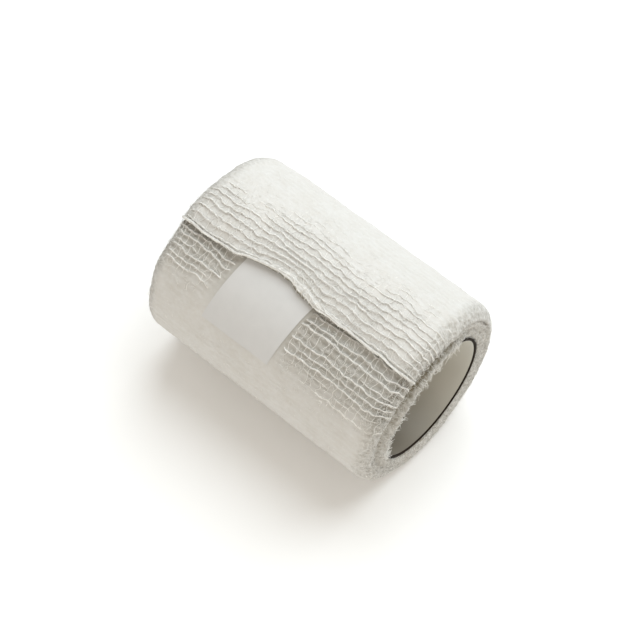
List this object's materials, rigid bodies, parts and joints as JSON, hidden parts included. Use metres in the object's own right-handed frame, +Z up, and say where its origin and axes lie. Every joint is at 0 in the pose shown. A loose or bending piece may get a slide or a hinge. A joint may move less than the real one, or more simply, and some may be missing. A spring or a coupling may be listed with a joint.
{
  "type": "gauze bandage roll",
  "caption": "Elastic crepe gauze strip wound on a thin open tube, its loose end lapped over a blank paper slip, lying on its side.",
  "frame": {"origin": "middle of the roll's length on the flat spot underneath, on the surface that it lies on", "axes": "+X along the roll towards the end whose tube shows in the picture; +Z up; the slip faces up and towards -Y"},
  "size_m": [0.0772, 0.0542, 0.0565],
  "materials": {
    "gauze": "matte, open crepe weave",
    "slip": "smooth, uncoated",
    "tube": "smooth, matte"
  },
  "bodies": {
    "root": {"wound_strip": "gauze", "free_end": "gauze", "paper_slip": "slip", "core_tube": "tube"}
  },
  "joints": []
}
